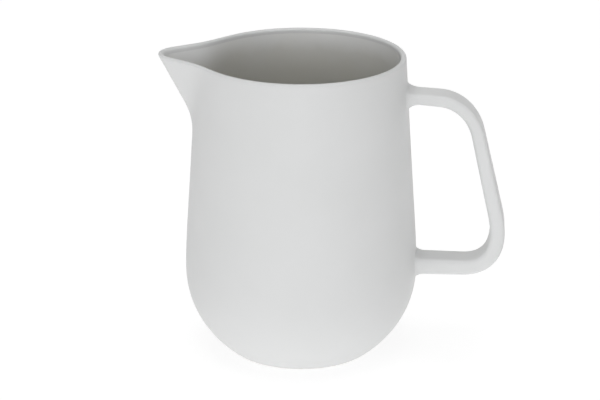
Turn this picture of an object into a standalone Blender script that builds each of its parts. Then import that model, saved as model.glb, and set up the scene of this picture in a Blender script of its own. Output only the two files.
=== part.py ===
"""A free-standing white porcelain pitcher: a slip-cast vessel with a pulled pouring spout, a strap
handle stuck on with slip at two joints, and a glaze lining inside.

Metres, +Z up. The pitcher stands on z = 0 with the spout towards -X and the handle towards +X, and the
origin is at the centre of its bounding box in plan. The pieces are modelled about the vessel's own
turning axis and hang from an empty that puts that axis in its place.
"""

import math

import bmesh
import bpy
import numpy as np
from mathutils import Vector

MM = 0.001

# The vessel's outside, as a turned profile about its axis.
HEIGHT = 155.0 * MM
RIM_RADIUS = 52.7 * MM
BELLY_RADIUS = 59.6 * MM
BELLY_HEIGHT = 43.0 * MM
FOOT_RADIUS = 38.9 * MM
TAPER_ANGLE = math.radians(3.4)  # how far the upper wall leans in at the rim
TAPER_RUN = 73.6 * MM  # length below the rim over which it keeps that lean
FLARE_ANGLE = math.radians(38.5)  # how steeply the bowl leaves the foot
FLARE_RUN = 13.0 * MM  # length over which the bowl keeps its flare
BELLY_RUN_UP = 16.1 * MM  # how softly the belly turns into the upper wall
BELLY_RUN_DOWN = 20.8 * MM  # and into the bowl

# The casting's thickness, its floor and its foot ring.
WALL = 2.9 * MM
FLOOR_THICKNESS = 4.6 * MM
FLOOR_CORNER = 5.0 * MM  # height over which the inner wall turns into the floor
FOOT_RECESS = 2.0 * MM  # how far the underside is set up inside the foot ring
RECESS_SLOPE = 1.6 * MM  # width over which the underside rises from the ring
FOOT_EDGE = 1.5 * MM  # rounding of the foot ring's outer edge
FOOT_LAND = 2.4 * MM  # width of the flat that the pitcher stands on

# The pouring spout, a rounded wedge pulled out of the wall.
SPOUT_PROJECTION = 19.9 * MM  # from the round rim out to the tip of the lip
SPOUT_DEPTH = 33.5 * MM  # from the rim down to where the lower ridge leaves the wall
SPOUT_NOSE = 12.1 * MM  # radius of the wedge's rounded nose
SPOUT_HALF_ANGLE = math.radians(36.0)
SPOUT_BLEND = 5.0 * MM  # how softly the wedge runs into the wall

# The handle's centre line: two arms and a grip, with eased corners between them.
ARM_TOP_BELOW_RIM = 19.6 * MM  # down to the upper arm's centre line at the wall
ARM_BOTTOM_HEIGHT = 45.6 * MM  # up to the lower arm's centre line at the wall
SHOULDER_BELOW_RIM = 22.0 * MM  # corner of the upper arm and the grip
SHOULDER_FROM_WALL = 31.5 * MM
ELBOW_HEIGHT = 45.5 * MM  # corner of the grip and the lower arm
ELBOW_FROM_WALL = 46.4 * MM
SHOULDER_EASE = (15.7 * MM, 17.8 * MM)  # length of the easing before and after the corner
ELBOW_EASE = (29.5 * MM, 23.0 * MM)
CORNER_PULL = 0.62  # how close an eased corner comes to its sharp corner

# The strap's section, a rounded rectangle.
STRAP_WIDTH = 15.6 * MM
STRAP_AT_TOP = 5.6 * MM
STRAP_AT_GRIP = 6.7 * MM
STRAP_AT_BOTTOM = 8.5 * MM
GRIP_SHARE = 0.35  # where the grip's thickness holds, as a share of the strap's length
STRAP_SQUARENESS = 4.0  # 2 would be an oval, and a large value a sharp rectangle

# The slip joints that hold the handle on.
UPPER_JOINT_LENGTH = 6.0 * MM  # from the wall to the strap's end
LOWER_JOINT_LENGTH = 4.2 * MM
UPPER_FILLETS = (3.0 * MM, 3.8 * MM)  # on the side away from the finger gap, and on its own side
LOWER_FILLETS = (2.0 * MM, 2.2 * MM)

# The glaze lining.
GLAZE_THICKNESS = 0.5 * MM
GLAZE_BELOW_RIM = 2.6 * MM  # how far under the rim the glaze stops

FIT_GAP = 0.3 * MM  # clearance between touching pieces

# How finely the pieces are divided.
COLUMNS = 60
COLUMN_CROWDING = 0.45  # how much closer the columns stand at the spout
BOWL_RINGS = 8
PLAIN_WALL_RINGS = 5
SPOUT_RINGS = 10
CURVE_STEPS = 40  # points that the outside's curves are read from
EDGE_RINGS = 3
LIP_RINGS = 4
SECTION_POINTS = 20
CORNER_STEPS = 9
STRAIGHT_STEPS = 5
FILLET_RINGS = 4
CAP_RINGS = 3
FLAT_RING_SHARE = 0.5  # radius of the ring that halves a flat disc, as a share of its edge
CREASE_ANGLE = math.radians(50.0)  # edges sharper than this stay crisp


def clear_scene():
    for old in list(bpy.data.objects):
        bpy.data.objects.remove(old, do_unlink=True)


def material(name, colour, roughness):
    made = bpy.data.materials.new(name)
    made.use_nodes = True
    shader = made.node_tree.nodes["Principled BSDF"]
    shader.inputs["Base Color"].default_value = (*colour, 1.0)
    shader.inputs["Roughness"].default_value = roughness
    shader.inputs["Metallic"].default_value = 0.0
    made.diffuse_color = (*colour, 1.0)
    return made


def bezier(start, start_pull, end_pull, end, steps):
    """Points of a cubic curve, both ends included."""
    share = np.linspace(0.0, 1.0, steps + 1)[:, None]
    rest = 1.0 - share
    return (
        np.array(start) * rest**3
        + np.array(start_pull) * 3.0 * share * rest**2
        + np.array(end_pull) * 3.0 * share**2 * rest
        + np.array(end) * share**3
    )


def arc(centre, radius, start_angle, end_angle, steps):
    """Points of a circular arc, both ends included."""
    angles = np.linspace(start_angle, end_angle, steps + 1)
    return np.array(centre) + radius * np.column_stack([np.cos(angles), np.sin(angles)])


def soft_max(first, second, blend):
    """The larger of two lengths, rounded off where they are nearly equal."""
    overlap = np.maximum(blend - np.abs(first - second), 0.0) / blend
    return np.maximum(first, second) + overlap**2 * blend / 4.0


def lip_height():
    """Height of the centre of the rounded lip."""
    return HEIGHT - WALL / 2.0


def bowl_start():
    """Radius and height where the foot ring's rounded edge turns into the bowl."""
    lean = FLARE_ANGLE - math.pi / 2.0
    return (
        FOOT_RADIUS - FOOT_EDGE + FOOT_EDGE * math.cos(lean),
        FOOT_EDGE + FOOT_EDGE * math.sin(lean),
    )


def bowl_curve(steps):
    """Radius and height of points up the bowl, from the foot ring's edge to the belly."""
    foot = bowl_start()
    return bezier(
        foot,
        (foot[0] + FLARE_RUN * math.cos(FLARE_ANGLE), foot[1] + FLARE_RUN * math.sin(FLARE_ANGLE)),
        (BELLY_RADIUS, BELLY_HEIGHT - BELLY_RUN_DOWN),
        (BELLY_RADIUS, BELLY_HEIGHT),
        steps,
    )


def upper_curve(steps):
    """Radius and height of points up the wall, from the belly to the lip."""
    return bezier(
        (BELLY_RADIUS, BELLY_HEIGHT),
        (BELLY_RADIUS, BELLY_HEIGHT + BELLY_RUN_UP),
        (RIM_RADIUS + TAPER_RUN * math.tan(TAPER_ANGLE), lip_height() - TAPER_RUN),
        (RIM_RADIUS, lip_height()),
        steps,
    )


def wall_radius(height):
    """The outside radius of the vessel at a height, away from the spout."""
    outside = np.vstack([bowl_curve(CURVE_STEPS), upper_curve(CURVE_STEPS)[1:]])
    return float(np.interp(height, outside[:, 1], outside[:, 0]))


def spout_bottom():
    """Height under which the spout no longer touches the wall."""
    return HEIGHT - SPOUT_DEPTH - 3.0 * SPOUT_BLEND


def upper_wall(inset, top):
    """Radius and height of points up the wall from the belly, moved inwards by the inset."""
    plain = np.linspace(BELLY_HEIGHT, spout_bottom(), PLAIN_WALL_RINGS, endpoint=False)
    spouted = np.linspace(spout_bottom(), lip_height(), SPOUT_RINGS)
    heights = [height for height in (*plain, *spouted) if height < top - GLAZE_THICKNESS]
    return np.array([(wall_radius(height) - inset, height) for height in (*heights, top)])


def bowl_moved_in(inset):
    """The bowl's points moved inwards along their normals."""
    bowl = bowl_curve(BOWL_RINGS)
    along = np.gradient(bowl, axis=0)
    along /= np.linalg.norm(along, axis=1)[:, None]
    return bowl + inset * np.column_stack([-along[:, 1], along[:, 0]])


def inner_bowl(inset):
    """The inside of the bowl at an inset, with the floor's corner rounded."""
    casting_floor = FOOT_RECESS + FLOOR_THICKNESS
    above_floor = bowl_moved_in(WALL)[:, 1] > casting_floor - FLOOR_CORNER / 4.0
    moved = bowl_moved_in(inset)[above_floor]
    floor = casting_floor + inset - WALL
    moved[:, 1] = soft_max(moved[:, 1], floor, FLOOR_CORNER)
    moved[0, 1] = floor
    return moved[:-1]


def inner_wall(inset, top):
    """Radius and height of points up an inner surface, from the floor's edge to its top."""
    return np.vstack([inner_bowl(inset), upper_wall(inset, top)])


def spout_outline(height, angle, inset):
    """Distance from the axis to the spout's wedge, at an angle from the spout's direction."""
    tip = RIM_RADIUS + SPOUT_PROJECTION
    ridge_slope = (tip - wall_radius(HEIGHT - SPOUT_DEPTH)) / SPOUT_DEPTH
    reach = tip - ridge_slope * (HEIGHT - height)
    centre = reach - SPOUT_NOSE
    nose = SPOUT_NOSE - inset
    half = SPOUT_HALF_ANGLE
    tangent_angle = math.atan2(nose * math.cos(half), centre + nose * math.sin(half))
    if angle < tangent_angle:
        return centre * math.cos(angle) + math.sqrt(nose**2 - (centre * math.sin(angle)) ** 2)
    if angle + half > math.pi / 2.0:
        return 0.0
    return (centre + nose / math.sin(half)) * math.sin(half) / math.sin(angle + half)


def pulled(radius, height, angle, inset):
    """The radius of a point of the turned wall once the spout has been pulled out of it."""
    if height <= spout_bottom():
        return radius
    return float(soft_max(spout_outline(height, angle, inset), radius, SPOUT_BLEND + inset))


def column_angles():
    """Angles from the spout's direction, closer together at the spout."""
    even = np.linspace(-math.pi, math.pi, COLUMNS, endpoint=False)
    return even - COLUMN_CROWDING * np.sin(even)


def turned_ring(radius, height, inset):
    """One ring of points round the vessel's axis, with the spout in it."""
    ring = []
    for angle in column_angles():
        reach = pulled(radius, height, abs(angle), inset)
        ring.append((-reach * math.cos(angle), reach * math.sin(angle), height))
    return ring


def extruded_ring(mesh, ring, points):
    """Extrudes the last ring and moves each new vertex to its point."""
    edges = []
    for first, second in zip(ring, ring[1:] + ring[:1]):
        edges.append(mesh.edges.get((first, second)))
    made = bmesh.ops.extrude_edge_only(mesh, edges=edges)["geom"]
    fresh = {item for item in made if isinstance(item, bmesh.types.BMVert)}
    following = []
    for vertex, point in zip(ring, points):
        partner = next(e.other_vert(vertex) for e in vertex.link_edges if e.other_vert(vertex) in fresh)
        partner.co = point
        following.append(partner)
    return following


def lofted(name, rings, start_centre, end_centre):
    """A closed body through the rings, each end drawn together in a centre point."""
    mesh = bmesh.new()
    circle = bmesh.ops.create_circle(mesh, segments=len(rings[0]), radius=HEIGHT)
    ring = list(circle["verts"])
    for vertex, point in zip(ring, rings[0]):
        vertex.co = point
    first = ring
    for points in rings[1:]:
        ring = extruded_ring(mesh, ring, points)
    closing = extruded_ring(mesh, ring, [end_centre] * len(ring))
    opening = extruded_ring(mesh, first, [start_centre] * len(first))
    bmesh.ops.pointmerge(mesh, verts=closing, merge_co=end_centre)
    bmesh.ops.pointmerge(mesh, verts=opening, merge_co=start_centre)
    bmesh.ops.recalc_face_normals(mesh, faces=mesh.faces)
    bmesh.ops.triangulate(mesh, faces=mesh.faces, quad_method="SHORT_EDGE")
    data = bpy.data.meshes.new(name)
    mesh.to_mesh(data)
    mesh.free()
    data.shade_smooth()
    data.set_sharp_from_angle(angle=CREASE_ANGLE)
    made = bpy.data.objects.new(name, data)
    bpy.context.scene.collection.objects.link(made)
    return made


def vessel_body():
    """Underside, foot ring, outer wall, rounded lip, inner wall and floor, as one casting."""
    foot_centre = FOOT_RADIUS - FOOT_EDGE
    land_inner = foot_centre - FOOT_LAND
    rings = [
        turned_ring(land_inner * FLAT_RING_SHARE, FOOT_RECESS, 0.0),
        turned_ring(land_inner - RECESS_SLOPE, FOOT_RECESS, 0.0),
        turned_ring(land_inner, 0.0, 0.0),
    ]
    edge = arc((foot_centre, FOOT_EDGE), FOOT_EDGE, -math.pi / 2.0, FLARE_ANGLE - math.pi / 2.0, EDGE_RINGS)
    for radius, height in edge:
        rings.append(turned_ring(radius, height, 0.0))
    for radius, height in (*bowl_curve(BOWL_RINGS)[1:-1], *upper_wall(0.0, lip_height())):
        rings.append(turned_ring(radius, height, 0.0))
    for step in range(1, LIP_RINGS):
        turn = math.pi * step / LIP_RINGS
        inset = WALL / 2.0 * (1.0 - math.cos(turn))
        height = lip_height() + WALL / 2.0 * math.sin(turn)
        rings.append(turned_ring(RIM_RADIUS - inset, height, inset))
    inner = inner_wall(WALL, lip_height())[::-1]
    for radius, height in inner:
        rings.append(turned_ring(radius, height, WALL))
    floor = inner[-1][1]
    rings.append(turned_ring(inner[-1][0] * FLAT_RING_SHARE, floor, WALL))
    return lofted("vessel_body", rings, (0.0, 0.0, FOOT_RECESS), (0.0, 0.0, floor))


def inner_glaze():
    """The lining's outer face from the floor up to its edge, and its inner face back down."""
    outer_inset = WALL + FIT_GAP
    inner_inset = outer_inset + GLAZE_THICKNESS
    top = HEIGHT - GLAZE_BELOW_RIM
    outer = inner_wall(outer_inset, top)
    inner = inner_wall(inner_inset, top)[::-1]
    rings = [turned_ring(outer[0][0] * FLAT_RING_SHARE, outer[0][1], outer_inset)]
    for radius, height in outer:
        rings.append(turned_ring(radius, height, outer_inset))
    for radius, height in inner:
        rings.append(turned_ring(radius, height, inner_inset))
    rings.append(turned_ring(inner[-1][0] * FLAT_RING_SHARE, inner[-1][1], inner_inset))
    return lofted("inner_glaze", rings, (0.0, 0.0, outer[0][1]), (0.0, 0.0, inner[-1][1]))


def eased_corner(corner, before, after, ease):
    """A curve round a corner: it leaves the line towards `before` and joins the line towards `after`."""
    back = (before - corner) / np.linalg.norm(before - corner)
    onward = (after - corner) / np.linalg.norm(after - corner)
    start = corner + back * ease[0]
    end = corner + onward * ease[1]
    start_pull = start + (corner - start) * CORNER_PULL
    end_pull = end + (corner - end) * CORNER_PULL
    return bezier(start, start_pull, end_pull, end, CORNER_STEPS)


def beside_wall(distance, height):
    """A point at a distance out from the wall, as reach and height."""
    return np.array((wall_radius(height) + distance, height))


def handle_line():
    """The strap's centre line from wall to wall, as reach and height."""
    top = beside_wall(0.0, HEIGHT - ARM_TOP_BELOW_RIM)
    shoulder_corner = beside_wall(SHOULDER_FROM_WALL, HEIGHT - SHOULDER_BELOW_RIM)
    elbow_corner = beside_wall(ELBOW_FROM_WALL, ELBOW_HEIGHT)
    bottom = beside_wall(0.0, ARM_BOTTOM_HEIGHT)
    shoulder = eased_corner(shoulder_corner, top, elbow_corner, SHOULDER_EASE)
    elbow = eased_corner(elbow_corner, shoulder_corner, bottom, ELBOW_EASE)
    upper_arm = np.linspace(top, shoulder[0], STRAIGHT_STEPS, endpoint=False)
    grip = np.linspace(shoulder[-1], elbow[0], STRAIGHT_STEPS + 1)[1:-1]
    lower_arm = np.linspace(elbow[-1], bottom, STRAIGHT_STEPS + 1)[1:]
    return np.vstack([upper_arm, shoulder, grip, elbow, lower_arm])


def line_lengths(line):
    steps = np.linalg.norm(np.diff(line, axis=0), axis=1)
    return np.concatenate([[0.0], np.cumsum(steps)])


def point_on(line, distance):
    lengths = line_lengths(line)
    return np.array([np.interp(distance, lengths, line[:, 0]), np.interp(distance, lengths, line[:, 1])])


def strap_thickness(share):
    """Thickness at a share of the strap's length, through its three named values."""
    shares = (0.0, GRIP_SHARE, 1.0)
    return float(np.interp(share, shares, (STRAP_AT_TOP, STRAP_AT_GRIP, STRAP_AT_BOTTOM)))


def section_offsets(thickness, width):
    """Points of the strap's section: across its thickness, outwards first, and across its width."""
    points = []
    for step in range(SECTION_POINTS):
        turn = 2.0 * math.pi * step / SECTION_POINTS
        across = abs(math.cos(turn)) ** (2.0 / STRAP_SQUARENESS)
        along = abs(math.sin(turn)) ** (2.0 / STRAP_SQUARENESS)
        points.append(
            (
                math.copysign(across, math.cos(turn)) * thickness / 2.0,
                math.copysign(along, math.sin(turn)) * width / 2.0,
            )
        )
    return points


def section_ring(centre, along, thickness):
    """The strap's section standing square to its centre line."""
    outwards = np.array((-along[1], along[0]))
    ring = []
    for across, side in section_offsets(thickness, STRAP_WIDTH):
        reach, height = centre + outwards * across
        ring.append((reach, side, height))
    return ring


def handle():
    """The strap between the two joints."""
    line = handle_line()
    lengths = line_lengths(line)
    total = lengths[-1]
    first = UPPER_JOINT_LENGTH + FIT_GAP
    last = total - LOWER_JOINT_LENGTH - FIT_GAP
    stations = [first]
    stations += [length for length in lengths if first + WALL < length < last - WALL]
    stations += [last]
    rings = []
    for station in stations:
        nudge = WALL / 4.0
        along = point_on(line, station + nudge) - point_on(line, station - nudge)
        along /= np.linalg.norm(along)
        rings.append(section_ring(point_on(line, station), along, strap_thickness(station / total)))
    ends = [tuple(np.mean(ring, axis=0)) for ring in (rings[0], rings[-1])]
    return lofted("handle", rings, ends[0], ends[1])


def wall_point(side, height):
    """A point just clear of the vessel's outer wall on the handle's side."""
    clear = wall_radius(height) + FIT_GAP
    return (math.sqrt(clear**2 - side**2), side, height)


def handle_joint(name, line, length, thickness, fillets, outward_sign):
    """A collar of slip that flares from the strap's end to a footprint on the wall."""
    start = line[0]
    along = point_on(line, length) - start
    along /= np.linalg.norm(along)
    outwards = outward_sign * np.array((-along[1], along[0]))
    rings = []
    for step in range(FILLET_RINGS + 1):
        turn = math.pi / 2.0 * step / FILLET_RINGS
        flare = 1.0 - math.cos(turn)
        away = 1.0 - math.sin(turn)
        ring = []
        for across, side in section_offsets(thickness, STRAP_WIDTH):
            lean = across / thickness * 2.0
            fillet = (fillets[0] * (1.0 + lean) + fillets[1] * (1.0 - lean)) / 2.0
            spread = Vector((across, side)).normalized() * fillet * flare
            end = start + along * length + outwards * (across + spread[0])
            foot = wall_point(side + spread[1], start[1] + outwards[1] * (across + spread[0]))
            ring.append(
                (
                    foot[0] * (1.0 - away) + end[0] * away,
                    side + spread[1],
                    foot[2] * (1.0 - away) + end[1] * away,
                )
            )
        rings.append(ring)
    footprint = rings[-1]
    centre = np.mean(footprint, axis=0)
    for step in range(1, CAP_RINGS):
        share = 1.0 - step / CAP_RINGS
        cap = []
        for point in footprint:
            side = point[1] * share
            height = centre[2] + (point[2] - centre[2]) * share
            cap.append(wall_point(side, height))
        rings.append(cap)
    outer_end = tuple(np.mean(rings[0], axis=0))
    return lofted(name, rings, outer_end, wall_point(0.0, float(centre[2])))


def place_on_frame(pieces):
    """Hangs the pieces from an empty that centres the whole pitcher over the origin in plan."""
    reaches = []
    for piece in pieces:
        reaches += [vertex.co.x for vertex in piece.data.vertices]
    frame = bpy.data.objects.new("pitcher_axis", None)
    frame.location = (-(min(reaches) + max(reaches)) / 2.0, 0.0, 0.0)
    bpy.context.scene.collection.objects.link(frame)
    for piece in pieces:
        piece.parent = frame


def build():
    clear_scene()
    line = handle_line()
    porcelain = material("bare_porcelain", (0.80, 0.81, 0.80), 0.55)
    strap_porcelain = material("handle_porcelain", (0.78, 0.79, 0.79), 0.50)
    slip = material("joining_slip", (0.76, 0.77, 0.77), 0.60)
    glaze = material("lining_glaze", (0.72, 0.71, 0.66), 0.15)
    body = vessel_body()
    lining = inner_glaze()
    strap = handle()
    upper = handle_joint("upper_handle_joint", line, UPPER_JOINT_LENGTH, STRAP_AT_TOP, UPPER_FILLETS, 1.0)
    lower = handle_joint(
        "lower_handle_joint", line[::-1], LOWER_JOINT_LENGTH, STRAP_AT_BOTTOM, LOWER_FILLETS, -1.0
    )
    body.data.materials.append(porcelain)
    lining.data.materials.append(glaze)
    strap.data.materials.append(strap_porcelain)
    upper.data.materials.append(slip)
    lower.data.materials.append(slip)
    place_on_frame([body, lining, strap, upper, lower])


build()
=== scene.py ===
import math

import bmesh
import bpy
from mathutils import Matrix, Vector


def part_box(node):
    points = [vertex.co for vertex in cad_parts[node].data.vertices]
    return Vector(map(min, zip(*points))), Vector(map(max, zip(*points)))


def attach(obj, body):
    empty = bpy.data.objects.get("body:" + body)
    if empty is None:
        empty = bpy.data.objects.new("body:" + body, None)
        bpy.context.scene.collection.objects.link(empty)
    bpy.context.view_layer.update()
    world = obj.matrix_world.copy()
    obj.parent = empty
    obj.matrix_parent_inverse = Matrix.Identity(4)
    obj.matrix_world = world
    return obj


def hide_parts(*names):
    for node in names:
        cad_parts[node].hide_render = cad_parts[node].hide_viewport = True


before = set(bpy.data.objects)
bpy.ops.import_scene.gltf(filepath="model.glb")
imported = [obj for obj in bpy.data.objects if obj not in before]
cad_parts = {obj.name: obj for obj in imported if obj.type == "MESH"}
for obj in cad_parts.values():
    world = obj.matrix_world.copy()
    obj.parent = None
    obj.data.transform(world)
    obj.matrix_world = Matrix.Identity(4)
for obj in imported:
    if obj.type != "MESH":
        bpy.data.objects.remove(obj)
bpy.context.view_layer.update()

MM = 0.001

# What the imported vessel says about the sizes: its height, its belly and where its turning axis stands.
vessel_low, vessel_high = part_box("vessel_body")
HEIGHT = vessel_high.z
BELLY_RADIUS = vessel_high.y
AXIS = Vector((vessel_high.x - BELLY_RADIUS, 0.0, 0.0))

# Outside of the turned vessel.
RIM_RADIUS = 52.7 * MM
BELLY_HEIGHT = 43.0 * MM
FOOT_RADIUS = 38.9 * MM
TAPER_ANGLE = math.radians(3.4)
TAPER_RUN = 73.6 * MM
FLARE_ANGLE = math.radians(38.5)
FLARE_RUN = 13.0 * MM
BELLY_RUN_UP = 16.1 * MM
BELLY_RUN_DOWN = 20.8 * MM

# Thickness of the casting, its floor and the foot ring.
WALL = 2.9 * MM
FLOOR_THICKNESS = 4.6 * MM
FLOOR_CORNER = 9.0 * MM
FLOOR_HAIR = FLOOR_CORNER / 400.0  # a point of the bowl this near the flat floor is left out
FOOT_RECESS = 2.0 * MM
RECESS_SLOPE = 1.6 * MM
FOOT_EDGE = 1.5 * MM
FOOT_LAND = 2.4 * MM

# The pulled spout.
SPOUT_PROJECTION = 19.9 * MM
SPOUT_DEPTH = 33.5 * MM
SPOUT_NOSE = 12.1 * MM
SPOUT_HALF_ANGLE = math.radians(36.0)
SPOUT_BLEND = 5.0 * MM
PULL_LIMIT = 80.0 * MM  # the radius that a fully pulled point would reach

# The strap handle's centre line and section.
ARM_TOP_BELOW_RIM = 19.6 * MM
ARM_BOTTOM_HEIGHT = 45.6 * MM
SHOULDER_BELOW_RIM = 22.0 * MM
SHOULDER_FROM_WALL = 31.5 * MM
ELBOW_HEIGHT = 45.5 * MM
ELBOW_FROM_WALL = 46.4 * MM
SHOULDER_EASE = (15.7 * MM, 17.8 * MM)
ELBOW_EASE = (29.5 * MM, 23.0 * MM)
CORNER_PULL = 0.62
STRAP_WIDTH = 15.6 * MM
STRAP_AT_TOP = 5.6 * MM
STRAP_AT_GRIP = 6.7 * MM
STRAP_AT_BOTTOM = 8.5 * MM
GRIP_SHARE = 0.35
STRAP_CORNER = 1.9 * MM

# The slip fillets where the strap meets the wall.
UPPER_FILLET_LENGTH = 6.0 * MM
LOWER_FILLET_LENGTH = 4.2 * MM
UPPER_FILLETS = (3.0 * MM, 3.8 * MM)  # away from the finger gap, and on its side
LOWER_FILLETS = (2.0 * MM, 2.2 * MM)
SINK = 0.06 * MM  # how far a piece is let into the one it is fired to

# The glaze lining.
GLAZE_THICKNESS = 0.25 * MM
GLAZE_BELOW_RIM = 2.6 * MM
GLAZE_FEATHER = 5.0 * MM  # height over which its upper edge thins out

# How finely the pieces are divided.
TURNING_STEPS = 240
BOWL_POINTS = 22
WALL_POINTS = 18
SPOUT_POINTS = 34
LIP_POINTS = 10
EDGE_POINTS = 5
FLAT_POINTS = 6
STRAP_CUTS = 110
CORNER_SEGMENTS = 5
FILLET_STEPS = 14
FILLET_WIDTH_CUTS = 8
FILLET_DEPTH_CUTS = 2
HALVINGS = 40  # how often a height is closed in on
BODY_CREASE = math.radians(50.0)  # edges sharper than this stay crisp
STRAP_CREASE = math.radians(40.0)

# Where the camera stands.
CAMERA_TURN = math.radians(4.5)
CAMERA_PITCH = math.radians(20.0)
CAMERA_DISTANCE = 6.869 * HEIGHT
AIM_HEIGHT = 0.5013 * HEIGHT
AIM_LEFT = 0.62 * MM
SENSOR_WIDTH = 36.0
LENS = 124.6

# The pale floor.
FLOOR_RADIUS = 4.0
FLOOR_GREY = 0.35
FLOOR_GLOW = 0.74

# ---------------------------------------------------------------------------------------------- shapes


def curve_point(start, start_pull, end_pull, end, share):
    """A point on a cubic curve in the plane."""
    rest = 1.0 - share
    return tuple(
        a * rest**3 + b * 3.0 * share * rest**2 + c * 3.0 * share**2 * rest + d * share**3
        for a, b, c, d in zip(start, start_pull, end_pull, end)
    )


def soft_max(first, second, blend):
    """The larger of two lengths, rounded off where they are nearly equal."""
    overlap = max(blend - abs(first - second), 0.0) / blend
    return max(first, second) + overlap**2 * blend / 4.0


LIP_HEIGHT = HEIGHT - WALL / 2.0
SPOUT_BOTTOM = HEIGHT - SPOUT_DEPTH - 3.0 * SPOUT_BLEND


def bowl_point(share):
    """Radius and height on the bowl, from the foot ring's edge to the belly."""
    lean = FLARE_ANGLE - math.pi / 2.0
    foot = (
        FOOT_RADIUS - FOOT_EDGE + FOOT_EDGE * math.cos(lean),
        FOOT_EDGE + FOOT_EDGE * math.sin(lean),
    )
    flare = (foot[0] + FLARE_RUN * math.cos(FLARE_ANGLE), foot[1] + FLARE_RUN * math.sin(FLARE_ANGLE))
    belly = (BELLY_RADIUS, BELLY_HEIGHT)
    return curve_point(foot, flare, (BELLY_RADIUS, BELLY_HEIGHT - BELLY_RUN_DOWN), belly, share)


def wall_curve_point(share):
    """Radius and height on the upper wall, from the belly to the lip."""
    belly = (BELLY_RADIUS, BELLY_HEIGHT)
    taper = (RIM_RADIUS + TAPER_RUN * math.tan(TAPER_ANGLE), LIP_HEIGHT - TAPER_RUN)
    rim = (RIM_RADIUS, LIP_HEIGHT)
    return curve_point(belly, (BELLY_RADIUS, BELLY_HEIGHT + BELLY_RUN_UP), taper, rim, share)


def share_at(curve, height):
    """The share of a rising curve at which it reaches a height."""
    low, high = 0.0, 1.0
    for _ in range(HALVINGS):
        middle = (low + high) / 2.0
        if curve(middle)[1] < height:
            low = middle
        else:
            high = middle
    return (low + high) / 2.0


def wall_radius(height):
    """The vessel's outside radius at a height, away from the spout."""
    curve = bowl_point if height < BELLY_HEIGHT else wall_curve_point
    return curve(share_at(curve, height))[0]


def bowl_inside(share, inset):
    """The bowl's inside at an inset, with the floor's corner rounded."""
    step = 0.01
    before, after = bowl_point(max(share - step, 0.0)), bowl_point(min(share + step, 1.0))
    run, rise = after[0] - before[0], after[1] - before[1]
    length = math.hypot(run, rise)
    radius, height = bowl_point(share)
    floor = FOOT_RECESS + FLOOR_THICKNESS + inset - WALL
    return radius - inset * rise / length, soft_max(height + inset * run / length, floor, FLOOR_CORNER)


def inside_points(inset_at, top):
    """Radius and height up an inner face, from the floor's middle to its top."""
    bowl = [bowl_inside(step / BOWL_POINTS, inset_at(0.0)) for step in range(BOWL_POINTS)]
    floor = FOOT_RECESS + FLOOR_THICKNESS + inset_at(0.0) - WALL
    bowl = [point for point in bowl if point[1] > floor + FLOOR_HAIR]
    edge = bowl[0][0]
    points = [(edge * step / FLAT_POINTS, floor) for step in range(FLAT_POINTS)]
    points += bowl
    for height in wall_heights(top):
        points.append((wall_radius(height) - inset_at(height), height))
    return points


def wall_heights(top):
    """Heights up the wall from the belly, closer together where the spout is pulled."""
    plain = [
        BELLY_HEIGHT + (SPOUT_BOTTOM - BELLY_HEIGHT) * step / WALL_POINTS for step in range(WALL_POINTS)
    ]
    pulled = [SPOUT_BOTTOM + (top - SPOUT_BOTTOM) * step / SPOUT_POINTS for step in range(SPOUT_POINTS + 1)]
    return plain + pulled


def vessel_profile():
    """The whole section of the vessel, from under its middle round the lip to the floor inside."""
    foot_centre = FOOT_RADIUS - FOOT_EDGE
    land_inner = foot_centre - FOOT_LAND
    recess_edge = land_inner - RECESS_SLOPE
    points = [(recess_edge * step / FLAT_POINTS, FOOT_RECESS) for step in range(FLAT_POINTS)]
    for step in range(EDGE_POINTS + 1):
        share = step / EDGE_POINTS
        ease = share * share * (3.0 - 2.0 * share)
        points.append((recess_edge + RECESS_SLOPE * share, FOOT_RECESS * (1.0 - ease)))
    for step in range(EDGE_POINTS + 1):
        turn = -math.pi / 2.0 + FLARE_ANGLE * step / EDGE_POINTS
        points.append((foot_centre + FOOT_EDGE * math.cos(turn), FOOT_EDGE + FOOT_EDGE * math.sin(turn)))
    points += [bowl_point(step / BOWL_POINTS) for step in range(1, BOWL_POINTS)]
    points += [(wall_radius(height), height) for height in wall_heights(LIP_HEIGHT)]
    for step in range(1, LIP_POINTS):
        turn = math.pi * step / LIP_POINTS
        radius = RIM_RADIUS - WALL / 2.0 * (1.0 - math.cos(turn))
        points.append((radius, LIP_HEIGHT + WALL / 2.0 * math.sin(turn)))
    return points + inside_points(lambda height: WALL, LIP_HEIGHT)[::-1]


def glaze_profile():
    """The lining's section: its face on the clay up to the feathered edge, and its wet face back down."""
    top = HEIGHT - GLAZE_BELOW_RIM

    def wet_inset(height):
        thinning = min(max((top - height) / GLAZE_FEATHER, 0.0), 1.0)
        return WALL + GLAZE_THICKNESS * math.sin(thinning * math.pi / 2.0)

    return inside_points(lambda height: WALL - SINK, top) + inside_points(wet_inset, top)[::-1]


def spout_outline(height, angle, inset):
    """Distance from the axis to the spout's rounded wedge, at an angle from the spout's direction."""
    tip = RIM_RADIUS + SPOUT_PROJECTION
    ridge_slope = (tip - wall_radius(HEIGHT - SPOUT_DEPTH)) / SPOUT_DEPTH
    centre = tip - ridge_slope * (HEIGHT - height) - SPOUT_NOSE
    nose = SPOUT_NOSE - inset
    half = SPOUT_HALF_ANGLE
    if angle < math.atan2(nose * math.cos(half), centre + nose * math.sin(half)):
        return centre * math.cos(angle) + math.sqrt(nose**2 - (centre * math.sin(angle)) ** 2)
    if angle + half > math.pi / 2.0:
        return 0.0
    return (centre + nose / math.sin(half)) * math.sin(half) / math.sin(angle + half)


# ------------------------------------------------------------------------------- tools for the modelling


def deselect_everything():
    if bpy.context.object and bpy.context.object.mode != "OBJECT":
        bpy.ops.object.mode_set(mode="OBJECT")
    bpy.ops.object.select_all(action="DESELECT")


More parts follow.
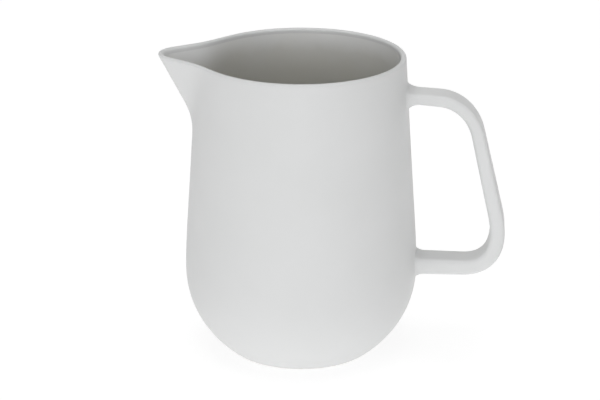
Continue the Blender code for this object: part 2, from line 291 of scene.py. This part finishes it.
def start_piece(name, location):
    """Leaves a new single vertex at a place, in edit mode."""
    deselect_everything()
    bpy.ops.mesh.primitive_plane_add(size=WALL, location=location)
    piece = bpy.context.object
    piece.name = name
    piece.data.name = name
    bpy.ops.object.mode_set(mode="EDIT")
    bpy.ops.mesh.select_mode(type="VERT")
    bpy.ops.mesh.select_all(action="SELECT")
    bpy.ops.mesh.merge(type="CENTER")
    return piece


def draw_section(points):
    """Extrudes the selected vertex through the points of a section in the XZ plane."""
    first = Vector((points[0][0], 0.0, points[0][1]))
    bpy.ops.transform.translate(value=first)
    at = first
    for radius, height in points[1:]:
        following = Vector((radius, 0.0, height))
        bpy.ops.mesh.extrude_region_move(TRANSFORM_OT_translate={"value": following - at})
        at = following


def turn_on_axis():
    """Spins the section in edit mode about the vessel's axis and closes it."""
    bpy.ops.mesh.select_all(action="SELECT")
    bpy.ops.mesh.spin(steps=TURNING_STEPS, angle=2.0 * math.pi, center=AXIS, axis=(0.0, 0.0, 1.0))
    bpy.ops.mesh.select_all(action="SELECT")
    bpy.ops.mesh.remove_doubles(threshold=0.001 * MM)
    bpy.ops.mesh.normals_make_consistent(inside=False)


def apply_modifiers(piece):
    for modifier in list(piece.modifiers):
        bpy.ops.object.modifier_apply(modifier=modifier.name)


def pull_spout(piece):
    """Draws the front of the wall out into the spout, each point as far as its weight in a cast."""
    bpy.ops.object.mode_set(mode="OBJECT")
    pull = piece.vertex_groups.new(name="spout_pull")
    for vertex in piece.data.vertices:
        place = vertex.co
        if place.z <= SPOUT_BOTTOM:
            continue
        radius = math.hypot(place.x, place.y)
        angle = math.atan2(abs(place.y), -place.x)
        inset = wall_radius(min(place.z, LIP_HEIGHT)) - radius
        pulled = soft_max(spout_outline(place.z, angle, inset), radius, SPOUT_BLEND + inset)
        if pulled > radius:
            pull.add([vertex.index], (pulled - radius) / (PULL_LIMIT - radius), "REPLACE")
    cast = piece.modifiers.new("spout", "CAST")
    cast.cast_type = "CYLINDER"
    cast.factor = 1.0
    cast.use_radius_as_size = False
    cast.size = PULL_LIMIT
    cast.vertex_group = pull.name
    apply_modifiers(piece)
    piece.vertex_groups.clear()


def finish_piece(piece, crease):
    """Puts the piece's place in its mesh and shades it smooth, with edges over the crease kept crisp."""
    deselect_everything()
    piece.select_set(True)
    bpy.context.view_layer.objects.active = piece
    bpy.ops.object.transform_apply(location=True, rotation=True, scale=True)
    bpy.ops.object.shade_smooth_by_angle(angle=crease)
    return piece


# ------------------------------------------------------------------------------------------- the pieces


def vessel_wall():
    """The cast vessel: recessed underside, foot ring, bowl, tapering wall, rounded lip and inside."""
    piece = start_piece("vessel_wall", AXIS)
    draw_section(vessel_profile())
    turn_on_axis()
    pull_spout(piece)
    return finish_piece(piece, BODY_CREASE)


def glaze_lining():
    """A fine coat of glaze over the floor and the inner wall, thinning out under the lip."""
    piece = start_piece("glaze_lining", AXIS)
    draw_section(glaze_profile())
    turn_on_axis()
    pull_spout(piece)
    return finish_piece(piece, BODY_CREASE)


def beside_wall(distance, height):
    return Vector((AXIS.x + wall_radius(height) + distance, 0.0, height))


def eased(corner, before, after, ease):
    """Where an eased corner starts and ends, and the pulls of its curve."""
    back = (before - corner).normalized()
    onward = (after - corner).normalized()
    start = corner + back * ease[0]
    end = corner + onward * ease[1]
    return start, start.lerp(corner, CORNER_PULL), end.lerp(corner, CORNER_PULL), end


def handle_line():
    """A curve object along the strap's centre line, from wall to wall."""
    top = beside_wall(0.0, HEIGHT - ARM_TOP_BELOW_RIM)
    shoulder = beside_wall(SHOULDER_FROM_WALL, HEIGHT - SHOULDER_BELOW_RIM)
    elbow = beside_wall(ELBOW_FROM_WALL, ELBOW_HEIGHT)
    bottom = beside_wall(0.0, ARM_BOTTOM_HEIGHT)
    upper = eased(shoulder, top, elbow, SHOULDER_EASE)
    lower = eased(elbow, shoulder, bottom, ELBOW_EASE)
    third = 1.0 / 3.0
    knots = [
        (top, top, top.lerp(upper[0], third)),
        (upper[0].lerp(top, third), upper[0], upper[1]),
        (upper[2], upper[3], upper[3].lerp(lower[0], third)),
        (lower[0].lerp(upper[3], third), lower[0], lower[1]),
        (lower[2], lower[3], lower[3].lerp(bottom, third)),
        (bottom.lerp(lower[3], third), bottom, bottom),
    ]
    deselect_everything()
    bpy.ops.curve.primitive_bezier_curve_add(location=(0.0, 0.0, 0.0))
    line = bpy.context.object
    line.name = "handle_line"
    line.data.twist_mode = "MINIMUM"
    line.data.resolution_u = 64
    spline = line.data.splines[0]
    spline.bezier_points.add(len(knots) - 2)
    for point, (left, place, right) in zip(spline.bezier_points, knots):
        point.handle_left_type = point.handle_right_type = "FREE"
        point.handle_left, point.co, point.handle_right = left, place, right
    return line


def line_length(line):
    return sum(spline.calc_length() for spline in line.data.splines)


def strap_thickness(share):
    if share < GRIP_SHARE:
        return STRAP_AT_TOP + (STRAP_AT_GRIP - STRAP_AT_TOP) * share / GRIP_SHARE
    return STRAP_AT_GRIP + (STRAP_AT_BOTTOM - STRAP_AT_GRIP) * (share - GRIP_SHARE) / (1.0 - GRIP_SHARE)


def strap_section(name, station, thickness):
    """The strap's rounded section as one upright face, at a distance along the straight strap."""
    deselect_everything()
    upright = (0.0, math.pi / 2.0, 0.0)
    bpy.ops.mesh.primitive_plane_add(size=1.0, location=(station, 0.0, 0.0), rotation=upright)
    piece = bpy.context.object
    piece.name = name
    piece.data.name = name
    bpy.ops.object.transform_apply(location=True, rotation=True, scale=True)
    bpy.ops.object.mode_set(mode="EDIT")
    bpy.ops.mesh.select_all(action="SELECT")
    bpy.ops.transform.resize(value=(1.0, STRAP_WIDTH, thickness), center_override=(station, 0.0, 0.0))
    bpy.ops.mesh.bevel(offset=STRAP_CORNER, segments=CORNER_SEGMENTS, affect="VERTICES")
    return piece


def select_edges(piece, wanted):
    """Selects the edges whose direction and length the test accepts, and nothing else."""
    bpy.ops.mesh.select_all(action="DESELECT")
    bpy.ops.mesh.select_mode(type="EDGE")
    mesh = bmesh.from_edit_mesh(piece.data)
    for edge in mesh.edges:
        edge.select_set(wanted(edge.verts[1].co - edge.verts[0].co))
    bmesh.update_edit_mesh(piece.data)


def lengthen_strap(start, end, thickness_change):
    """Extrudes the end face along the strap and changes its thickness there."""
    bpy.ops.mesh.extrude_region_move(TRANSFORM_OT_translate={"value": (end - start, 0.0, 0.0)})
    bpy.ops.transform.resize(value=(1.0, 1.0, thickness_change), center_override=(end, 0.0, 0.0))


def bend_along(piece, line):
    """Bends a straight piece, drawn along X, onto the handle's centre line."""
    bpy.ops.object.mode_set(mode="OBJECT")
    bend = piece.modifiers.new("handle_bend", "CURVE")
    bend.object = line
    bend.deform_axis = "POS_X"
    apply_modifiers(piece)


def strap_handle(line):
    """The flat strap, drawn straight, thickened towards its foot and bent to the handle's line."""
    total = line_length(line)
    start = UPPER_FILLET_LENGTH
    end = total - LOWER_FILLET_LENGTH
    grip = total * GRIP_SHARE
    first = strap_thickness(start / total)
    last = strap_thickness(end / total)
    piece = strap_section("strap_handle", start, first)
    lengthen_strap(start, grip, STRAP_AT_GRIP / first)
    lengthen_strap(grip, end, last / STRAP_AT_GRIP)
    select_edges(piece, lambda run: abs(run.x) > STRAP_WIDTH)
    bpy.ops.mesh.subdivide(number_cuts=STRAP_CUTS)
    bpy.ops.mesh.select_all(action="SELECT")
    bpy.ops.mesh.normals_make_consistent(inside=False)
    bend_along(piece, line)
    return finish_piece(piece, STRAP_CREASE)


def root_fillet(name, line, wall, station, outer_fillet, inner_fillet):
    """A skirt of slip: the strap's section spread out in rings that come nearer and nearer the wall."""
    total = line_length(line)
    first = strap_thickness(UPPER_FILLET_LENGTH / total)
    thickness = strap_thickness(station / total)
    piece = strap_section(name, station, first)
    bpy.ops.transform.resize(value=(1.0, 1.0, thickness / first), center_override=(station, 0.0, 0.0))
    select_edges(piece, lambda run: run.length > STRAP_WIDTH / 4.0)
    bpy.ops.mesh.subdivide(number_cuts=FILLET_WIDTH_CUTS)
    select_edges(piece, lambda run: run.length > STRAP_CORNER / 2.0 and abs(run.z) > abs(run.y))
    bpy.ops.mesh.subdivide(number_cuts=FILLET_DEPTH_CUTS)
    bpy.ops.mesh.select_all(action="SELECT")
    ring_weights = {}
    width, depth, middle = STRAP_WIDTH, thickness, 0.0
    bpy.ops.mesh.select_mode(type="FACE")
    for step in range(1, FILLET_STEPS + 1):
        turn = math.pi / 2.0 * step / FILLET_STEPS
        flare = 1.0 - math.cos(turn)
        new_width = STRAP_WIDTH + (outer_fillet + inner_fillet) * flare
        new_depth = thickness + (outer_fillet + inner_fillet) * flare
        new_middle = (outer_fillet - inner_fillet) / 2.0 * flare
        bpy.ops.mesh.extrude_region_move(TRANSFORM_OT_translate={"value": (0.0, 0.0, new_middle - middle)})
        bpy.ops.transform.resize(
            value=(1.0, new_width / width, new_depth / depth), center_override=(station, 0.0, new_middle)
        )
        width, depth, middle = new_width, new_depth, new_middle
        mesh = bmesh.from_edit_mesh(piece.data)
        for vertex in mesh.verts:
            if vertex.select:
                ring_weights[vertex.index] = math.sin(turn)
    bend_along(piece, line)
    laid = piece.vertex_groups.new(name="laid_on_wall")
    for index, weight in ring_weights.items():
        laid.add([index], weight, "REPLACE")
    wrap = piece.modifiers.new("onto_wall", "SHRINKWRAP")
    wrap.wrap_method = "PROJECT"
    wrap.target = wall
    wrap.use_project_x = True
    wrap.use_positive_direction = False
    wrap.use_negative_direction = True
    wrap.offset = -SINK
    wrap.vertex_group = laid.name
    apply_modifiers(piece)
    piece.vertex_groups.clear()
    bpy.ops.object.mode_set(mode="EDIT")
    bpy.ops.mesh.select_all(action="SELECT")
    bpy.ops.mesh.normals_make_consistent(inside=False)
    return finish_piece(piece, STRAP_CREASE)


# ---------------------------------------------------------------------------------------- the finishes


class Finish:
    """A material with one Principled surface and short ways to add the nodes that feed it."""

    def __init__(self, name):
        self.material = bpy.data.materials.new(name)
        self.material.use_nodes = True
        self.nodes = self.material.node_tree.nodes
        self.links = self.material.node_tree.links
        self.surface = self.nodes["Principled BSDF"]
        self.place = self.nodes.new("ShaderNodeTexCoord").outputs["Object"]

    def set(self, name, value):
        self.surface.inputs[name].default_value = value

    def feed(self, output, name):
        self.links.new(output, self.surface.inputs[name])

    def noise(self, size, detail):
        """Noise with features of about a size, in metres."""
        node = self.nodes.new("ShaderNodeTexNoise")
        node.inputs["Scale"].default_value = 1.0 / size
        node.inputs["Detail"].default_value = detail
        self.links.new(self.place, node.inputs["Vector"])
        return node.outputs["Fac"]

    def ramp(self, value, stops):
        node = self.nodes.new("ShaderNodeValToRGB")
        elements = node.color_ramp.elements
        while len(elements) < len(stops):
            elements.new(0.5)
        for element, (position, colour) in zip(elements, stops):
            element.position = position
            element.color = (*colour, 1.0)
        self.links.new(value, node.inputs["Fac"])
        return node.outputs["Color"]

    def spread(self, value, low, high, to_low, to_high):
        """A value stretched from one range to another, held at the ends."""
        node = self.nodes.new("ShaderNodeMapRange")
        node.interpolation_type = "SMOOTHSTEP"
        for name, number in zip(("From Min", "From Max", "To Min", "To Max"), (low, high, to_low, to_high)):
            node.inputs[name].default_value = number
        self.links.new(value, node.inputs["Value"])
        return node.outputs["Result"]

    def sum(self, first, second):
        node = self.nodes.new("ShaderNodeMath")
        node.operation = "ADD"
        for socket, value in zip(node.inputs, (first, second)):
            if isinstance(value, float):
                socket.default_value = value
            else:
                self.links.new(value, socket)
        return node.outputs["Value"]

    def tint(self, base, colour, factor):
        """The base colour multiplied by another, as far as a factor says."""
        node = self.nodes.new("ShaderNodeMix")
        node.data_type = "RGBA"
        node.blend_type = "MULTIPLY"
        factor_socket, first, second = node.inputs[0], node.inputs[6], node.inputs[7]
        self.links.new(factor, factor_socket)
        self.links.new(base, first)
        second.default_value = (*colour, 1.0)
        return node.outputs[2]

    def bump(self, height, distance, normal=None):
        node = self.nodes.new("ShaderNodeBump")
        node.inputs["Distance"].default_value = distance
        self.links.new(height, node.inputs["Height"])
        if normal is not None:
            self.links.new(normal, node.inputs["Normal"])
        return node.outputs["Normal"]

    def height(self):
        node = self.nodes.new("ShaderNodeSeparateXYZ")
        self.links.new(self.place, node.inputs["Vector"])
        return node.outputs["Z"]


def porcelain(name, roughness, brushed):
    """Bare white porcelain, polished to a satin: faint clouding, rare pale specks and a very fine tooth."""
    finish = Finish(name)
    clouds = finish.noise(38.0 * MM, 3.0)
    colour = finish.ramp(clouds, [(0.30, (0.712, 0.716, 0.712)), (0.70, (0.732, 0.735, 0.733))])
    specks = finish.spread(finish.noise(0.7 * MM, 1.0), 0.760, 0.800, 0.0, 0.35)
    colour = finish.tint(colour, (0.80, 0.78, 0.74), specks)
    handled = finish.spread(finish.noise(16.0 * MM, 4.0), 0.35, 0.65, -0.035, 0.035)
    finish.feed(finish.sum(handled, roughness), "Roughness")
    tooth = finish.bump(finish.noise(0.30 * MM, 2.0), 0.012 * MM)
    rolls = finish.bump(finish.noise(7.0 * MM, 2.0), 0.05 * MM * brushed, normal=tooth)
    finish.feed(rolls, "Normal")
    finish.set("IOR", 1.5)
    finish.set("Specular IOR Level", 0.35)
    return finish, colour


def body_porcelain():
    """The vessel's porcelain, with the foot ring ground bare and a little grey from standing."""
    finish, colour = porcelain("satin_porcelain", 0.52, 0.5)
    ragged = finish.spread(finish.noise(2.0 * MM, 3.0), 0.3, 0.7, -0.3 * MM, 0.3 * MM)
    low = finish.spread(finish.sum(finish.height(), ragged), 0.15 * MM, 0.9 * MM, 1.0, 0.0)
    colour = finish.tint(colour, (0.80, 0.77, 0.72), low)
    finish.feed(colour, "Base Color")
    return finish.material


def strap_porcelain():
    """The strap's porcelain, a little smoother where hands have polished it."""
    finish, colour = porcelain("strap_porcelain", 0.48, 0.4)
    finish.feed(colour, "Base Color")
    return finish.material


def slip_porcelain():
    """The slip of the root fillets, smoothed with a damp brush and slightly rougher."""
    finish, colour = porcelain("smoothed_slip", 0.54, 1.0)
    finish.feed(colour, "Base Color")
    return finish.material


def lining_glaze():
    """The glaze: softly glossy; palest under the lip, where it thins out and light is painted in, and a
    warm grey further down as painted shade.
    """
    finish = Finish("lining_glaze")
    # Painted light and shade: the colour brightens towards the lip, partly from the glaze thinning there
    # and partly as painted light, and falls to a darker warm grey lower down as painted shade inside the
    # vessel; the wavy height makes that line uneven.
    wavy_height = finish.spread(finish.noise(14.0 * MM, 3.0), 0.3, 0.7, -1.2 * MM, 1.2 * MM)
    thinning_and_painted_light = finish.spread(finish.sum(finish.height(), wavy_height), HEIGHT - 34.0 * MM, HEIGHT - 3.0 * MM, 0.0, 1.0)
    colour = finish.ramp(
        thinning_and_painted_light,
        [
            (0.00, (0.705, 0.700, 0.664)),
            (0.40, (0.735, 0.730, 0.696)),
            (0.80, (0.765, 0.762, 0.738)),
            (1.00, (0.850, 0.852, 0.848)),
        ],
    )
    clouds = finish.spread(finish.noise(24.0 * MM, 3.0), 0.3, 0.7, 0.0, 0.35)
    colour = finish.tint(colour, (0.97, 0.955, 0.91), clouds)
    finish.feed(colour, "Base Color")
    even = finish.spread(finish.noise(12.0 * MM, 3.0), 0.3, 0.7, 0.16, 0.24)
    finish.feed(even, "Roughness")
    peel = finish.bump(finish.noise(3.5 * MM, 1.0), 0.02 * MM)
    finish.feed(peel, "Normal")
    finish.set("IOR", 1.5)
    return finish.material


# ------------------------------------------------------------------------------------ stage and lighting


def light_table():
    """A wide pale floor that glows evenly, so the pitcher stands in soft light from below as well."""
    deselect_everything()
    bpy.ops.mesh.primitive_circle_add(vertices=96, radius=FLOOR_RADIUS, fill_type="NGON")
    floor = bpy.context.object
    floor.name = "studio_floor"
    finish = Finish("pale_floor")
    finish.set("Base Color", (FLOOR_GREY, FLOOR_GREY, FLOOR_GREY, 1.0))
    finish.set("Roughness", 0.9)
    finish.set("Emission Color", (1.0, 1.0, 1.0, 1.0))
    finish.set("Emission Strength", FLOOR_GLOW)
    floor.data.materials.append(finish.material)
    return floor


class Tent:
    """The white tent round the table: a world whose soft lights are added up one by one."""

    def __init__(self):
        world = bpy.data.worlds.new("white_tent")
        bpy.context.scene.world = world
        world.use_nodes = True
        self.nodes = world.node_tree.nodes
        self.links = world.node_tree.links
        self.background = self.nodes["Background"]
        direction = self.nodes.new("ShaderNodeTexCoord").outputs["Generated"]
        parts = self.nodes.new("ShaderNodeSeparateXYZ")
        self.links.new(direction, parts.inputs["Vector"])
        self.rise = parts.outputs["Z"]
        to_front = self.math("MULTIPLY", parts.outputs["Y"], -1.0)
        self.turn = self.math("ARCTAN2", parts.outputs["X"], to_front)
        self.total = None

    def math(self, operation, *values):
        node = self.nodes.new("ShaderNodeMath")
        node.operation = operation
        for socket, value in zip(node.inputs, values):
            if isinstance(value, (int, float)):
                socket.default_value = value
            else:
                self.links.new(value, socket)
        return node.outputs["Value"]

    def fade(self, value, start, end):
        """Nothing before the start and everything from the end on, eased between them."""
        node = self.nodes.new("ShaderNodeMapRange")
        node.interpolation_type = "SMOOTHSTEP"
        node.inputs["From Min"].default_value = start
        node.inputs["From Max"].default_value = end
        self.links.new(value, node.inputs["Value"])
        return node.outputs["Result"]

    def overhead(self, colour):
        """Light from the tent's roof, strongest straight above."""
        self.add(self.fade(self.rise, math.sin(math.radians(45.0)), 1.0), colour)

    def wall(self, turn, spread, full_to, gone_at, colour):
        """Light from a side of the tent, turned from the front, that fades out sideways and upwards."""
        above = self.math("GREATER_THAN", self.rise, 0.0)
        low = self.fade(self.rise, math.sin(math.radians(gone_at)), math.sin(math.radians(full_to)))
        shape = self.math("MULTIPLY", above, low)
        away = self.math("SUBTRACT", self.turn, math.radians(turn))
        away = self.math("ABSOLUTE", self.math("WRAP", away, math.pi, -math.pi))
        self.add(self.math("MULTIPLY", shape, self.fade(away, math.radians(spread), 0.0)), colour)

    def add(self, shape, colour):
        node = self.nodes.new("ShaderNodeVectorMath")
        node.operation = "MULTIPLY_ADD"
        self.links.new(shape, node.inputs[0])
        node.inputs[1].default_value = colour
        if self.total is not None:
            self.links.new(self.total, node.inputs[2])
        self.total = node.outputs["Vector"]

    def close(self):
        self.links.new(self.total, self.background.inputs["Color"])


def grey(level):
    return (level, level, level)


def surroundings():
    """Strong light from straight above and low in front, most on the left, and softer light behind."""
    tent = Tent()
    tent.overhead(grey(2.3))
    tent.wall(turn=0.0, spread=75.0, full_to=5.0, gone_at=20.0, colour=(1.7, 1.75, 1.8))
    tent.wall(turn=0.0, spread=75.0, full_to=12.0, gone_at=35.0, colour=grey(0.9))
    tent.wall(turn=0.0, spread=90.0, full_to=40.0, gone_at=70.0, colour=grey(0.2))
    tent.wall(turn=-45.0, spread=60.0, full_to=12.0, gone_at=35.0, colour=grey(0.6))
    tent.wall(turn=45.0, spread=60.0, full_to=12.0, gone_at=35.0, colour=grey(0.2))
    tent.wall(turn=180.0, spread=90.0, full_to=12.0, gone_at=35.0, colour=grey(1.1))
    tent.close()


def camera():
    """A long lens, a little to the handle's side of square on, looking down on the mouth."""
    right = Vector((math.cos(CAMERA_TURN), math.sin(CAMERA_TURN), 0.0))
    aim = AXIS + Vector((0.0, 0.0, AIM_HEIGHT)) - right * AIM_LEFT
    level = math.cos(CAMERA_PITCH)
    back = Vector((math.sin(CAMERA_TURN) * level, -math.cos(CAMERA_TURN) * level, math.sin(CAMERA_PITCH)))
    deselect_everything()
    bpy.ops.object.camera_add(location=aim + back * CAMERA_DISTANCE)
    made = bpy.context.object
    made.name = "view_camera"
    made.rotation_euler = back.to_track_quat("Z", "Y").to_euler()
    made.data.sensor_width = SENSOR_WIDTH
    made.data.lens = LENS
    bpy.context.scene.camera = made


# ------------------------------------------------------------------------------------------- assembling


def seat(piece, node, finish):
    """Gives a piece its finish, hangs it under the root body and hides the node that it stands for."""
    piece.data.materials.clear()
    piece.data.materials.append(finish)
    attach(piece, "root")
    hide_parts(node)


wall = vessel_wall()
line = handle_line()
total = line_length(line)
seat(wall, "vessel_body", body_porcelain())
seat(strap_handle(line), "handle", strap_porcelain())
slip = slip_porcelain()
upper = root_fillet("upper_root_fillet", line, wall, UPPER_FILLET_LENGTH, *UPPER_FILLETS)
lower = root_fillet("lower_root_fillet", line, wall, total - LOWER_FILLET_LENGTH, *LOWER_FILLETS)
seat(upper, "upper_handle_joint", slip)
seat(lower, "lower_handle_joint", slip)
seat(glaze_lining(), "inner_glaze", lining_glaze())
bpy.data.objects.remove(line)

light_table()
surroundings()
camera()
bpy.context.scene.view_settings.view_transform = "Standard"
